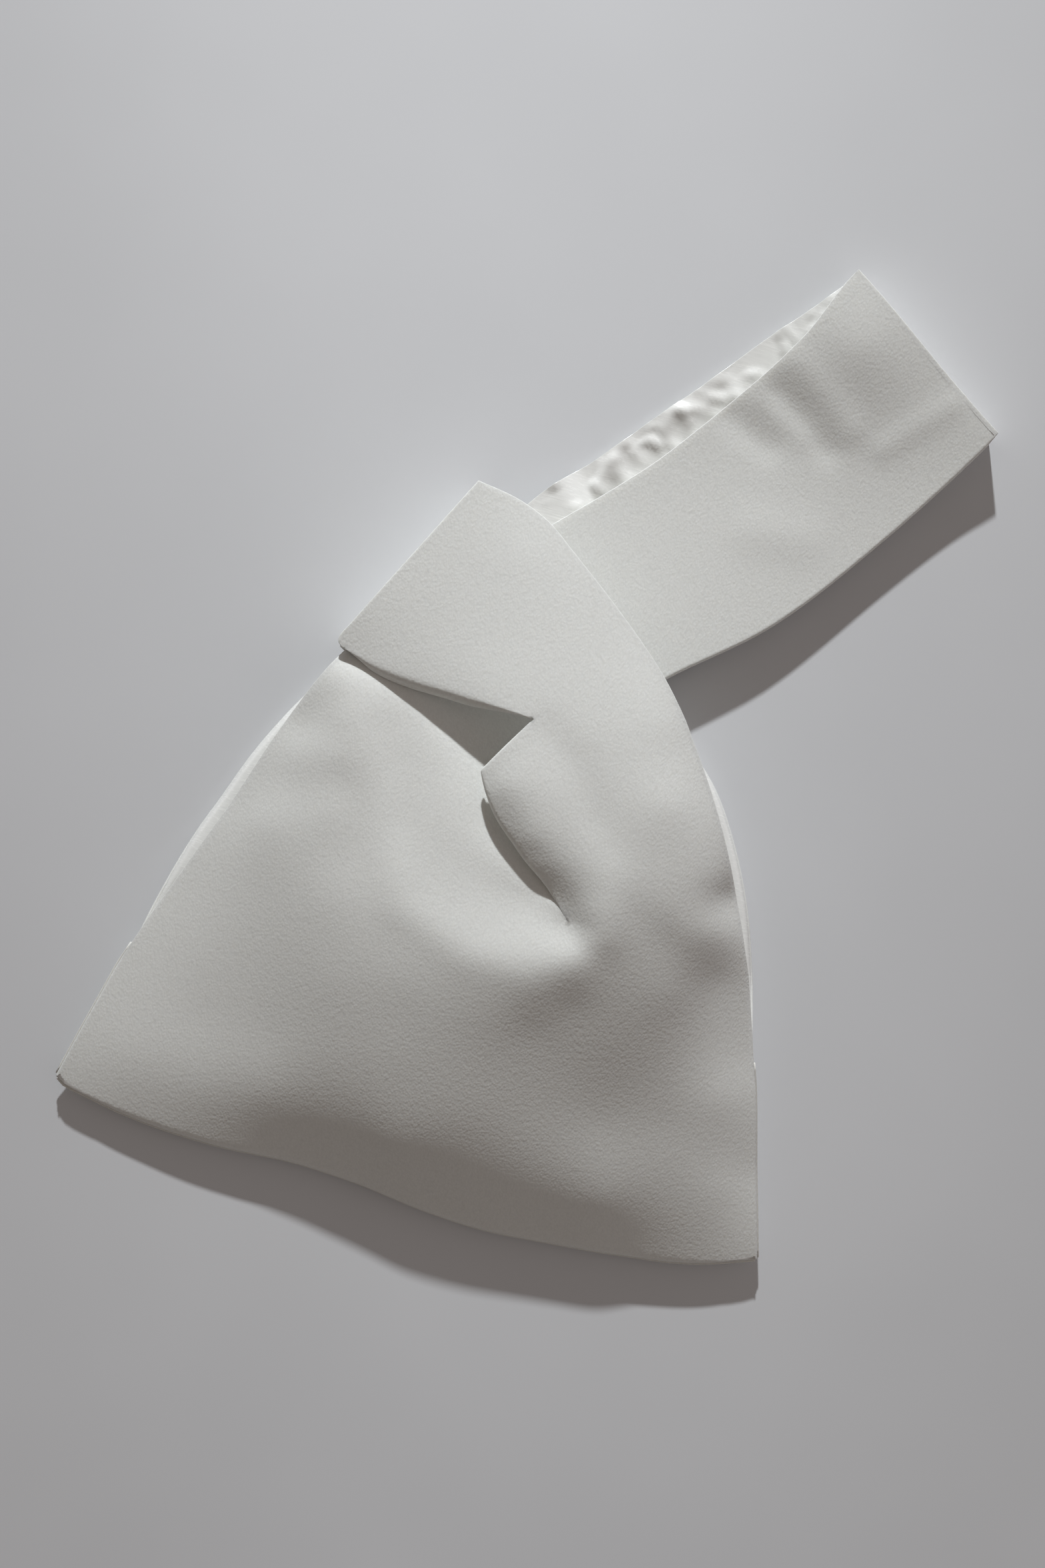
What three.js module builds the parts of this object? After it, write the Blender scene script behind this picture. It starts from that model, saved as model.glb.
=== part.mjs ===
// Japanese knot bag lying on its back, closed, its long strap drawn through its short loop.
// Millimetres. +X along the bottom seam, +Y up the bag, +Z up from the table.
// The origin is on the flat outer face of the back panel.

import * as THREE from "three";

// Cloth
const CREPE = 1.4;
const LINING = 0.5;
const CLEAR = 0.3;
const EDGE_INSET = 1;

// Pouch
const BASE_WIDTH = 270;
const BASE_BOW = 10;
const ORIGIN_ABOVE_BASE = 60;
const ARM_LINE_LEFT = { x: -97, y: 110 };
const ARM_LINE_RIGHT = { x: 107, y: 98 };
const LEFT_SIDE_BOW = 5;
const PUFF = 26;
const PUFF_MIDDLE = 0.6;
const CORNER_HEIGHT = 5;
const BASE_LIFT = 2;
const SIDE_RISE = 3;
const SIDE_SEAM = 62;
const FRONT_EDGE_LIFT = 5;
const BACK_EDGE_DROP = 4;
const BACK_EDGE_SPREAD = 6;
const BACK_LIP = 30;

// Seams
const SEAM_THICKNESS = 0.9;
const SEAM_DEPTH = 1.8;
const SEAM_END_TRIM = 6;

// Long strap: where its middle line leaves the short loop, and how it runs on from there
const STRAP_EXIT = { x: 17, y: 226 };
const STRAP_ANGLE = 50;
const STRAP_WIDTH = 82;
const TAIL_IN = 45;
const ARM_END_IN = 25;
const ARM_MARGIN = 3;
const LIFT_LINE = 25;
const HANDLE_LENGTH = 149;
const HANDLE_HEIGHT = 17.4;
const HANDLE_RISE_LENGTH = 32;
const HANDLE_FALL_LENGTH = 35;
const HANDLE_CROWN = 0.6;
const HANDLE_FRONT_SHIFT = 8;
const HANDLE_FRONT_CURL = 5;

// Left arms: their edges between the pouch and the loop
const LEFT_ARM_OUTER = [{ x: -82, y: 152 }, { x: -64, y: 182 }];
const LEFT_ARM_INNER = [{ x: 33, y: 116 }, { x: 28, y: 142 }];
const LEFT_ARM_DROP_SHARE = 0.5;
const LEFT_BACK_RISE_SHARE = 0.12;

// Short loop: its end fold, and its edges between the pouch and the fold
const FOLD_LOW = { x: -73, y: 181 };
const FOLD_HIGH = { x: -37, y: 252 };
const FOLD_HEIGHT = 24;
const FOLD_DEPTH = 7;
const LOOP_INNER = [
  { x: 50, y: 112, z: 38.5 },
  { x: 34, y: 124, z: 41 },
  { x: 8, y: 136, z: 39.5 },
  { x: -12, y: 153, z: 36 },
  { x: -34, y: 168, z: 30 },
];
const LOOP_OUTER = [
  { x: 89, y: 137, z: 23 },
  { x: 63, y: 180, z: 29 },
  { x: 25, y: 220, z: 28 },
  { x: 4, y: 236, z: 26.5 },
  { x: -12, y: 246, z: 25 },
];
const LOOP_BACK_INNER = [{ x: 48, y: 116 }];
const LOOP_BACK_OUTER = [{ x: 90, y: 148 }, { x: 66, y: 180 }];

// Mesh density
const PANEL_COLUMNS = 16;
const PANEL_ROWS = 9;
const NECK_COLUMN = 10;
const BACK_LINING_ROW = 2;
const ARM_ROWS = 12;
const STRAP_COLUMNS = 6;
const STRAP_ROWS = 9;
const FOLD_STEPS = 4;

// Worked out
const BASE_HALF = BASE_WIDTH / 2;
const LINING_FACE = CREPE + CLEAR;
const PLY = CREPE + LINING + 2 * CLEAR;
const SEAM_GAP = SEAM_THICKNESS / 2 + CLEAR;
const EDGE_OFF_SEAM = SEAM_GAP + CREPE;
const FOLD_OFF_SEAM = SEAM_GAP + CLEAR;
const TAIL_BACK_LEVEL = 2 * PLY;
const TAIL_FRONT_LEVEL = 4 * PLY - CLEAR;
const ARM_FRONT_LEVEL = TAIL_FRONT_LEVEL + PLY;
const ARM_Y = (ARM_LINE_LEFT.y + ARM_LINE_RIGHT.y) / 2;
const SIDE_SEAM_SHARE = SIDE_SEAM / ARM_Y;
const STRAP_TURN = THREE.MathUtils.degToRad(STRAP_ANGLE);
const ALONG = new THREE.Vector2(Math.cos(STRAP_TURN), Math.sin(STRAP_TURN));
const ACROSS = new THREE.Vector2(Math.sin(STRAP_TURN), -Math.cos(STRAP_TURN));

const { lerp, smoothstep } = THREE.MathUtils;

// A point on the strap: along from the exit, across to its right, and up
function strapPoint(along, across, z) {
  return new THREE.Vector3(
    STRAP_EXIT.x + along * ALONG.x + across * ACROSS.x,
    STRAP_EXIT.y + along * ALONG.y + across * ACROSS.y,
    z,
  );
}

// A grid of points over a surface, seen from above with column 0 on its left and row 0 at its start
function makePatch(columns, rows, point) {
  const grid = [];
  for (let row = 0; row <= rows; row += 1) {
    const line = [];
    for (let column = 0; column <= columns; column += 1) {
      line.push(point(column / columns, row / rows, column, row));
    }
    grid.push(line);
  }
  return grid;
}

// Vertex normals for several patches, the same where their points meet
function shareNormals(patches) {
  const sums = new Map();
  const keyOf = (p) => `${p.x.toFixed(3)},${p.y.toFixed(3)},${p.z.toFixed(3)}`;
  for (const grid of patches) {
    for (let row = 0; row + 1 < grid.length; row += 1) {
      for (let column = 0; column + 1 < grid[row].length; column += 1) {
        const corners = [
          grid[row][column],
          grid[row][column + 1],
          grid[row + 1][column + 1],
          grid[row + 1][column],
        ];
        const diagonal = corners[2].clone().sub(corners[0]);
        const normal = diagonal.cross(corners[3].clone().sub(corners[1]));
        for (const corner of corners) {
          const key = keyOf(corner);
          const sum = sums.get(key) ?? new THREE.Vector3();
          sums.set(key, sum.add(normal));
        }
      }
    }
  }
  return patches.map((grid) =>
    grid.map((line) => line.map((p) => sums.get(keyOf(p)).clone().normalize())));
}

// The grid with its border points drawn in by a length on each named side
function drawIn(grid, { start = 0, end = 0, left = 0, right = 0 }) {
  const moved = grid.map((line) => line.map((p) => p.clone()));
  const rows = grid.length - 1;
  const columns = grid[0].length - 1;
  const toward = (p, q, length) => p.add(q.clone().sub(p).setLength(length));
  for (let column = 0; column <= columns; column += 1) {
    if (start) toward(moved[0][column], grid[1][column], start);
    if (end) toward(moved[rows][column], grid[rows - 1][column], end);
  }
  for (let row = 0; row <= rows; row += 1) {
    if (left) moved[row][0].add(grid[row][1].clone().sub(grid[row][0]).setLength(left));
    if (right) {
      const step = grid[row][columns - 1].clone().sub(grid[row][columns]);
      moved[row][columns].add(step.setLength(right));
    }
  }
  return moved;
}

// One closed body between two offsets from a grid, along its normals
function sheetSolid(grid, normals, low, high) {
  const rows = grid.length;
  const columns = grid[0].length;
  const positions = [];
  for (const offset of [low, high]) {
    grid.forEach((line, row) => line.forEach((p, column) => {
      const moved = p.clone().addScaledVector(normals[row][column], offset);
      positions.push(moved.x, moved.y, moved.z);
    }));
  }
  const layer = rows * columns;
  const index = [];
  const quad = (a, b, c, d) => index.push(a, b, c, a, c, d);
  for (let row = 0; row + 1 < rows; row += 1) {
    for (let column = 0; column + 1 < columns; column += 1) {
      const a = row * columns + column;
      const b = a + 1;
      const c = b + columns;
      const d = a + columns;
      quad(layer + a, layer + b, layer + c, layer + d);
      quad(a, d, c, b);
    }
  }
  const border = [];
  for (let column = 0; column + 1 < columns; column += 1) border.push(column);
  for (let row = 0; row + 1 < rows; row += 1) border.push(row * columns + columns - 1);
  for (let column = columns - 1; column > 0; column -= 1) border.push((rows - 1) * columns + column);
  for (let row = rows - 1; row > 0; row -= 1) border.push(row * columns);
  border.forEach((a, place) => {
    const b = border[(place + 1) % border.length];
    quad(a, b, layer + b, layer + a);
  });
  const geometry = new THREE.BufferGeometry();
  geometry.setAttribute("position", new THREE.Float32BufferAttribute(positions, 3));
  geometry.setIndex(index);
  geometry.computeVertexNormals();
  return geometry;
}

// A smooth rail through points, read by its share of length
function rail(points) {
  const curve = new THREE.CatmullRomCurve3(points, false, "centripetal");
  return (share) => curve.getPointAt(share);
}

const flat = (p, z = 0) => new THREE.Vector3(p.x, p.y, p.z ?? z);
const acrossShare = (u) => (1 - Math.cos(Math.PI * u)) / 2;
const upShare = (v) => 1 - Math.cos((Math.PI / 2) * v);

// How far the mouth has opened at a share of the way up the pouch
const mouth = (share) => smoothstep(share, SIDE_SEAM_SHARE, 1);

// The seam's height at a share across the base and a share of the way up
function seamHeight(u, share) {
  const base = BASE_LIFT * Math.sin(Math.PI * u) * (1 - share);
  return CORNER_HEIGHT + SIDE_RISE * share + base;
}

// The pouch outline in plan, its free edges spread outward where the mouth is open
function pouchPlan(u, v, spread) {
  const share = upShare(v);
  const open = spread * mouth(share);
  const bow = LEFT_SIDE_BOW * Math.sin(Math.PI * share);
  const left = lerp(-BASE_HALF, ARM_LINE_LEFT.x, share) - bow - open;
  const right = lerp(BASE_HALF, ARM_LINE_RIGHT.x, share) + open;
  const c = acrossShare(u);
  const line = lerp(ARM_LINE_LEFT.y, ARM_LINE_RIGHT.y, c) * share;
  const y = line - BASE_BOW * Math.sin(Math.PI * u) * (1 - share);
  return { x: lerp(left, right, c), y, share, width: right - left, c };
}

function frontPouchPoint(u, v) {
  const plan = pouchPlan(u, v, 0);
  const edge = seamHeight(u, plan.share) + EDGE_OFF_SEAM + FRONT_EDGE_LIFT * mouth(plan.share);
  const side = Math.sin(Math.PI * u);
  const swell = lerp(side, side ** 3, PUFF_MIDDLE);
  const puff = PUFF * swell * Math.sin((Math.PI / 2) * v);
  return new THREE.Vector3(plan.x, plan.y, edge + puff);
}

const lip = (distance) => (1 - Math.min(1, distance / BACK_LIP)) ** 2;

function backPouchPoint(u, v) {
  const plan = pouchPlan(u, v, BACK_EDGE_SPREAD);
  const edge = seamHeight(u, plan.share) - EDGE_OFF_SEAM - BACK_EDGE_DROP * mouth(plan.share);
  const left = lip(plan.c * plan.width);
  const right = lip((1 - plan.c) * plan.width);
  const base = lip(plan.share * ARM_Y);
  return new THREE.Vector3(plan.x, plan.y, edge * Math.max(left, right, base));
}

// An arm drawn from part of a panel's last row, between two rails and then over the fold points, if any;
// its start shape fades out, and it keeps above a floor
function armPatch(startRow, leftRail, rightRail, fadeShare, { floor = 0, folds } = {}) {
  const first = startRow[0];
  const last = startRow[startRow.length - 1];
  const chord = last.clone().sub(first).setZ(0);
  const shares = startRow.map((p) => p.clone().sub(first).setZ(0).dot(chord) / chord.lengthSq());
  const rows = folds ? ARM_ROWS + FOLD_STEPS : ARM_ROWS;
  return makePatch(startRow.length - 1, rows, (u, v, column, row) => {
    const start = startRow[column];
    if (row === 0) return start.clone();
    if (row > ARM_ROWS) {
      const [left, right] = folds.map((points) => points[row - ARM_ROWS]);
      return left.clone().lerp(right, shares[column]);
    }
    const share = row / ARM_ROWS;
    const place = leftRail(share).lerp(rightRail(share), shares[column]);
    const fade = 1 - smoothstep(share, 0, fadeShare);
    const base = lerp(first.z, last.z, shares[column]);
    return place.setZ(Math.max(floor, place.z + (start.z - base) * fade));
  });
}

// The points of a quarter fold outward from one end of a fold line, from its flat face to its middle
function foldPoints(corner, top) {
  const line = new THREE.Vector2(FOLD_HIGH.x - FOLD_LOW.x, FOLD_HIGH.y - FOLD_LOW.y).normalize();
  const half = FOLD_HEIGHT / 2;
  const points = [];
  for (let step = 0; step <= FOLD_STEPS; step += 1) {
    const turn = (Math.PI / 2) * (step / FOLD_STEPS);
    const inset = FOLD_DEPTH * (1 - Math.sin(turn));
    const rise = half * Math.cos(turn) * (top ? 1 : -1);
    points.push(new THREE.Vector3(corner.x + inset * line.y, corner.y - inset * line.x, half + rise));
  }
  return points;
}

const frontPanel = makePatch(PANEL_COLUMNS, PANEL_ROWS, frontPouchPoint);
const backPanel = makePatch(PANEL_COLUMNS, PANEL_ROWS, backPouchPoint);
const frontLine = frontPanel[PANEL_ROWS];
const backLine = backPanel[PANEL_ROWS];
const armEnd = (side, z) => strapPoint(-ARM_END_IN, side * (STRAP_WIDTH / 2 + ARM_MARGIN), z);

const leftArmFront = armPatch(
  frontLine.slice(0, NECK_COLUMN + 1),
  rail([
    frontLine[0],
    flat(LEFT_ARM_OUTER[0], lerp(frontLine[0].z, ARM_FRONT_LEVEL, 0.5)),
    flat(LEFT_ARM_OUTER[1], ARM_FRONT_LEVEL),
    armEnd(-1, ARM_FRONT_LEVEL),
  ]),
  rail([
    frontLine[NECK_COLUMN],
    flat(LEFT_ARM_INNER[0], lerp(frontLine[NECK_COLUMN].z, ARM_FRONT_LEVEL, 0.5)),
    flat(LEFT_ARM_INNER[1], ARM_FRONT_LEVEL),
    armEnd(1, ARM_FRONT_LEVEL),
  ]),
  LEFT_ARM_DROP_SHARE,
  { floor: ARM_FRONT_LEVEL },
);

const frontFolds = [foldPoints(FOLD_LOW, true), foldPoints(FOLD_HIGH, true)];
const loopFront = armPatch(
  frontLine.slice(NECK_COLUMN),
  rail([frontLine[NECK_COLUMN], ...LOOP_INNER.map((p) => flat(p)), frontFolds[0][0]]),
  rail([frontLine[PANEL_COLUMNS], ...LOOP_OUTER.map((p) => flat(p)), frontFolds[1][0]]),
  LEFT_ARM_DROP_SHARE,
  { folds: frontFolds },
);

const leftArmBack = armPatch(
  backLine.slice(0, NECK_COLUMN + 1),
  rail([
    backLine[0],
    flat({ x: LEFT_ARM_OUTER[0].x - BACK_EDGE_SPREAD, y: LEFT_ARM_OUTER[0].y }, PLY),
    flat(LEFT_ARM_OUTER[1], PLY),
    armEnd(-1, PLY),
  ]),
  rail([
    backLine[NECK_COLUMN],
    flat(LEFT_ARM_INNER[0], PLY),
    flat(LEFT_ARM_INNER[1], PLY),
    armEnd(1, PLY),
  ]),
  LEFT_BACK_RISE_SHARE,
);

const backFolds = [foldPoints(FOLD_LOW, false), foldPoints(FOLD_HIGH, false)];
const loopBack = armPatch(
  backLine.slice(NECK_COLUMN),
  rail([backLine[NECK_COLUMN], ...LOOP_BACK_INNER.map((p) => flat(p)), backFolds[0][0]]),
  rail([backLine[PANEL_COLUMNS], ...LOOP_BACK_OUTER.map((p) => flat(p)), backFolds[1][0]]),
  LEFT_ARM_DROP_SHARE,
  { folds: backFolds },
);

// The strap's tail, flat inside the loop, and the handle beyond the line it lifts about
const tailLevel = (z) => makePatch(STRAP_COLUMNS, 2, (u, v) => {
  const along = lerp(-TAIL_IN, LIFT_LINE - CLEAR / 2, v);
  return strapPoint(along, STRAP_WIDTH * (u - 0.5), z);
});

const END_RADIUS = HANDLE_HEIGHT / 2;
const HANDLE_STRAIGHT = HANDLE_LENGTH - END_RADIUS - LIFT_LINE - CLEAR / 2;

// A handle row's place along the strap, its angle round the end fold, and its share of the way out
function handlePlace(row) {
  const turn = (Math.PI / 2) * (Math.max(0, row - STRAP_ROWS) / FOLD_STEPS);
  const share = Math.min(1, row / STRAP_ROWS);
  const along = LIFT_LINE + CLEAR / 2 + HANDLE_STRAIGHT * share + END_RADIUS * Math.sin(turn);
  return { along, turn, share };
}

const handleFront = makePatch(STRAP_COLUMNS, STRAP_ROWS + FOLD_STEPS, (u, v, column, row) => {
  const { along, turn, share } = handlePlace(row);
  const rise = smoothstep(along, LIFT_LINE, LIFT_LINE + HANDLE_RISE_LENGTH);
  const level = lerp(TAIL_FRONT_LEVEL, HANDLE_HEIGHT, rise);
  const swell = Math.sin(Math.PI * share);
  const crown = HANDLE_CROWN * swell * Math.sin(Math.PI * u);
  const across = (STRAP_WIDTH - 2 * HANDLE_FRONT_CURL * swell) * (u - 0.5) + HANDLE_FRONT_SHIFT * swell;
  return strapPoint(along, across, level - END_RADIUS * (1 - Math.cos(turn)) + crown);
});

const handleBack = makePatch(STRAP_COLUMNS, STRAP_ROWS + FOLD_STEPS, (u, v, column, row) => {
  const { along, turn } = handlePlace(row);
  const fall = smoothstep(along, LIFT_LINE, LIFT_LINE + HANDLE_FALL_LENGTH);
  const level = lerp(TAIL_BACK_LEVEL, 0, fall);
  return strapPoint(along, STRAP_WIDTH * (u - 0.5), level + END_RADIUS * (1 - Math.cos(turn)));
});

// A seam's turned-in cloth: a ribbon inward from the outer face along a line
function seamPatch(rows, line, inward) {
  return makePatch(1, rows, (u, v) => {
    const side = 1 - u;
    return line(v).addScaledVector(inward, SEAM_DEPTH * side);
  });
}

const bottomSeam = makePatch(PANEL_COLUMNS, 1, (u, v) => {
  const trim = SEAM_END_TRIM / BASE_WIDTH;
  const x = lerp(-1 + 2 * trim, 1 - 2 * trim, u);
  const place = Math.acos(-x) / Math.PI;
  const plan = pouchPlan(place, 0, 0);
  return new THREE.Vector3(plan.x, plan.y + SEAM_DEPTH * v, seamHeight(place, 0));
});

const sideSeamPatch = (side) => makePatch(1, PANEL_ROWS, (u, v) => {
  const share = lerp(SEAM_END_TRIM / ARM_Y, SIDE_SEAM_SHARE, v);
  const height = (2 / Math.PI) * Math.acos(1 - share);
  const plan = pouchPlan(side, height, 0);
  const inward = side === 0 ? u : u - 1;
  return new THREE.Vector3(plan.x + SEAM_DEPTH * inward, plan.y, seamHeight(side, share));
});

const foldLine = new THREE.Vector2(FOLD_HIGH.x - FOLD_LOW.x, FOLD_HIGH.y - FOLD_LOW.y).normalize();
const loopEndSeam = seamPatch(
  6,
  (v) => new THREE.Vector3(
    lerp(FOLD_LOW.x, FOLD_HIGH.x, v),
    lerp(FOLD_LOW.y, FOLD_HIGH.y, v),
    FOLD_HEIGHT / 2,
  ),
  new THREE.Vector3(foldLine.y, -foldLine.x, 0),
);
const handleEndSeam = seamPatch(
  6,
  (v) => strapPoint(HANDLE_LENGTH, STRAP_WIDTH * (0.5 - v), END_RADIUS),
  new THREE.Vector3(-ALONG.x, -ALONG.y, 0),
);

// Colours
const crepe = { color: 0xe9e5dc, roughness: 0.85 };
const satin = { color: 0xefece6, roughness: 0.4 };
const thread = { color: 0xddd8cd, roughness: 0.8 };

const bag = new THREE.Group();
bag.name = "japanese_knot_bag";

function addNode(name, geometry, look) {
  geometry.translate(0, -ORIGIN_ABOVE_BASE, 0);
  const mesh = new THREE.Mesh(geometry, new THREE.MeshStandardMaterial(look));
  mesh.name = name;
  bag.add(mesh);
}

// A sheet of crepe and its lining; side is 1 where the lining lies under the crepe, -1 where over it
function addSheet(name, grid, normals, side, trim, inset, [row, column] = [0, 0]) {
  const within = (lines) => lines.slice(row).map((line) => line.slice(column, line.length - column));
  const outer = drawIn(grid, trim);
  const inner = drawIn(within(grid), inset);
  const range = (near, far) => (side > 0 ? [-far, -near] : [near, far]);
  addNode(name, sheetSolid(outer, normals, ...range(0, CREPE)), crepe);
  const deep = range(LINING_FACE, LINING_FACE + LINING);
  addNode(`${name}_lining`, sheetSolid(inner, within(normals), ...deep), satin);
}

const free = { left: EDGE_INSET, right: EDGE_INSET };
const [panelFrontN, armFrontN, loopFrontN] = shareNormals([frontPanel, leftArmFront, loopFront]);
const [panelBackN, armBackN, loopBackN] = shareNormals([backPanel, leftArmBack, loopBack]);
addSheet("front_panel", frontPanel, panelFrontN, 1, {}, { start: EDGE_INSET, ...free });
addSheet("back_panel", backPanel, panelBackN, -1, {}, {}, [BACK_LINING_ROW, 1]);
addSheet("left_arm_front", leftArmFront, armFrontN, 1, { start: CLEAR }, { start: CLEAR, ...free });
addSheet("left_arm_back", leftArmBack, armBackN, -1, { start: CLEAR }, { start: CLEAR, ...free });
addSheet(
  "loop_front",
  loopFront,
  loopFrontN,
  1,
  { start: CLEAR, end: FOLD_OFF_SEAM },
  { start: CLEAR, end: FOLD_OFF_SEAM + EDGE_INSET, ...free },
);
addSheet(
  "loop_back",
  loopBack,
  loopBackN,
  -1,
  { start: CLEAR, end: FOLD_OFF_SEAM },
  { start: CLEAR, end: FOLD_OFF_SEAM + EDGE_INSET, ...free },
);

const strapSheets = [
  ["tail_front", tailLevel(TAIL_FRONT_LEVEL), 1, 0],
  ["tail_back", tailLevel(TAIL_BACK_LEVEL), -1, 0],
  ["handle_front", handleFront, 1, FOLD_OFF_SEAM],
  ["handle_back", handleBack, -1, FOLD_OFF_SEAM],
];
for (const [name, grid, side, end] of strapSheets) {
  const [normals] = shareNormals([grid]);
  const inset = end ? end + EDGE_INSET : 0;
  addSheet(name, grid, normals, side, { end }, { end: inset, ...free });
}

const seams = [
  ["bottom_seam", bottomSeam],
  ["left_side_seam", sideSeamPatch(0)],
  ["right_side_seam", sideSeamPatch(1)],
  ["loop_end_seam", loopEndSeam],
  ["handle_end_seam", handleEndSeam],
];
for (const [name, grid] of seams) {
  const [normals] = shareNormals([grid]);
  addNode(name, sheetSolid(grid, normals, -SEAM_THICKNESS / 2, SEAM_THICKNESS / 2), thread);
}

export default bag;
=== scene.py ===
import math

import bpy
import numpy as np
from bpy.props import FloatProperty, FloatVectorProperty, PointerProperty
from mathutils import Matrix, Vector


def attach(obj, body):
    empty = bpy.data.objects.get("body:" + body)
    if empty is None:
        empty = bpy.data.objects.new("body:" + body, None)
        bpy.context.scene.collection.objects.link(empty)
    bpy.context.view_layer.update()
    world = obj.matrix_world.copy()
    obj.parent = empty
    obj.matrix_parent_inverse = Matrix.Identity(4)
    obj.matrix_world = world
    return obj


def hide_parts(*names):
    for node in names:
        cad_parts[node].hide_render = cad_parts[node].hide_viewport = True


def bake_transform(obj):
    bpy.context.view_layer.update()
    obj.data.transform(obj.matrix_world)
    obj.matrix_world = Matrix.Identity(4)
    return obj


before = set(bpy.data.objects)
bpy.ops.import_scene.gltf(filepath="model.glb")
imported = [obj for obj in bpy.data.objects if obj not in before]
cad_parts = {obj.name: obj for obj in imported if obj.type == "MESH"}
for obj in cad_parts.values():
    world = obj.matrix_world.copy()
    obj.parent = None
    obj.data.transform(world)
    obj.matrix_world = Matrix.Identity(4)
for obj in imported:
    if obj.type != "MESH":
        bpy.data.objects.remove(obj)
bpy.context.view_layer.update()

bl_info = {
    "name": "Knot bag",
    "version": (1, 0, 0),
    "blender": (4, 5, 0),
    "location": "3D View > Sidebar > Knot bag",
    "description": "Builds a lined cloth knot bag that lies on a table",
    "category": "Add Mesh",
}

# Plan points are in millimetres, y up from the line between the bottom corners.
BASE_LINE = 60.0

# Outline of the pouch front.
BASE_EDGE = [(-135.4, 2), (-134.4, 0.1), (-131, -1.2), (-124, -2.4), (-113, -4.2), (-99.4, -5.8),
             (-70.2, -7.6), (-42.1, -6.6), (-15.5, -8.5), (9.3, -12), (33.5, -13.4), (55, -12.2),
             (86.9, -9.5), (114.3, -5.8), (135.2, 0)]
LEFT_EDGE = [(-135.4, 2), (-126.8, 33.8), (-119.1, 60.7), (-109, 86.5), (-96, 118)]
RIGHT_EDGE = [(135.2, 0), (126, 32.6), (114, 74.7), (104, 104)]
NECK_LEFT = [(-96, 118), (-62, 117), (-22, 114.5), (10, 111.5), (34, 108)]
NECK_RIGHT = [(34, 108), (68, 104), (104, 104)]
LEFT_SEAM_TOP = 61.0
RIGHT_SEAM_TOP = 75.0

# Rails of the left arm, which runs under the loop.
LEFT_ARM_OUTER = [(-96, 118), (-81.6, 153.9), (-70.6, 176.6), (-52, 205), (-28.2, 231.3)]
LEFT_ARM_INNER = [(34, 108), (36, 122), (33, 150), (30, 182.5)]

# Rails of the right arm: the flap up to the notch, then the loop.
FLAP_EDGE = [(34, 108), (27, 113.4), (8.5, 127.7), (-6, 143.1), (-10.2, 152)]
NOTCH = (4.6, 174.6)
CROSS_ROW = [(13, 184), (30, 191)]
RIGHT_ARM_EDGE = [(104, 104), (88.7, 137.1), (72.5, 165.3), (57, 188)]
LOOP_LOWER = [(-10, 176.2), (-24.5, 177.2), (-44, 178.4), (-58, 180.2), (-66.8, 182.4)]
LOOP_UPPER = [(46.7, 198.8), (23.9, 219.3), (4, 234.9), (-8.4, 244.2), (-20, 249), (-35.6, 252)]
LOOP_END = [(-66.8, 182.4), (-70.4, 184.4), (-70.2, 187), (-68.2, 190), (-63.6, 198.6), (-35.6, 252)]
FOLD_OUT = 0.15
FOLD_FOOT = 1.0
FOLD_STEPS = 9

# Heights over the table of a slack bag, as x, y, height. The two joins belong to the pouch and to an arm.
LEFT_JOIN_HEIGHTS = [
    (-93, 118, 14.5), (-80, 115, 20), (-54, 112, 26), (-57, 128, 26), (-28, 107, 27.8), (-33, 128, 26.2),
    (-22, 86, 28.2), (4.5, 79, 30.3), (2.5, 87.5, 30.7), (-1, 98, 30), (-6, 117, 28), (24, 88.5, 32.2),
    (26, 80, 31.4), (22, 100, 31.4), (30, 103, 31.6), (34, 108, 31), (20, 114, 29.2), (37, 104.8, 31.8),
]
RIGHT_JOIN_HEIGHTS = [
    (37, 104.8, 31.8), (34, 108, 31), (40, 101.5, 32.8), (38, 97, 33.4), (40, 89.5, 32.6),
    (42.7, 79, 29.8), (37, 111.3, 33.3), (39.7, 114.3, 34.7), (43.4, 118.4, 35.3), (40.5, 107.6, 33.5),
    (43.5, 110.5, 34.6), (43.5, 103.5, 33.9), (46, 107, 34.6), (48.5, 99, 33.2), (54, 106, 33.6),
    (50, 91, 31.8), (62, 90, 30.2), (75, 92, 28), (92, 100, 21), (101, 104, 17), (70, 111, 31.4),
    (75, 115, 31), (86, 118, 26.4), (67, 122, 33.5), (62, 142, 34.5), (83, 135, 27), (88, 131, 22),
    (46, 126, 35.4), (39, 140, 35.4), (56, 70, 27), (79, 76, 24.2), (56, 116, 34.2),
]
POUCH_HEIGHTS = LEFT_JOIN_HEIGHTS + RIGHT_JOIN_HEIGHTS[2:] + [
    (-132, 3, 6), (-124, 33, 8), (-116, 60, 9), (-106, 86, 10.8), (-82, 142, 17.5), (-100, -1, 7.5),
    (-70, -4, 8), (-42, -3.5, 8.3), (-15, -5.5, 8.5), (10, -9, 8.5), (33, -10.4, 8.5), (56, -9, 8.5),
    (87, -6.5, 8), (114, -3, 7.3), (132, 3, 6.3), (123, 33, 8.8), (111, 74, 12.8), (-108, 17, 9.5),
    (-82, 14, 11.5), (-86, 38, 13), (-93, 62, 13.4), (-70, 66, 18.8), (-57, 19, 15), (-62, 42, 17.5),
    (-74, 92, 20.3), (-31, 14, 15.2), (-36, 38, 20.8), (-42, 66, 24.6), (-49, 95, 26.4), (-5, 12, 16.4),
    (-10, 36, 22), (-16, 60, 25.7), (22, 10, 16), (16, 32, 22), (10, 55, 26.4), (46, 12, 16),
    (39, 40, 22.2), (31, 66, 27.8), (71, 12, 15.2), (64, 40, 20), (95, 18, 13.2), (88, 44, 17.6),
    (114, 25, 11.2), (105, 58, 15.6),
]
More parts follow.
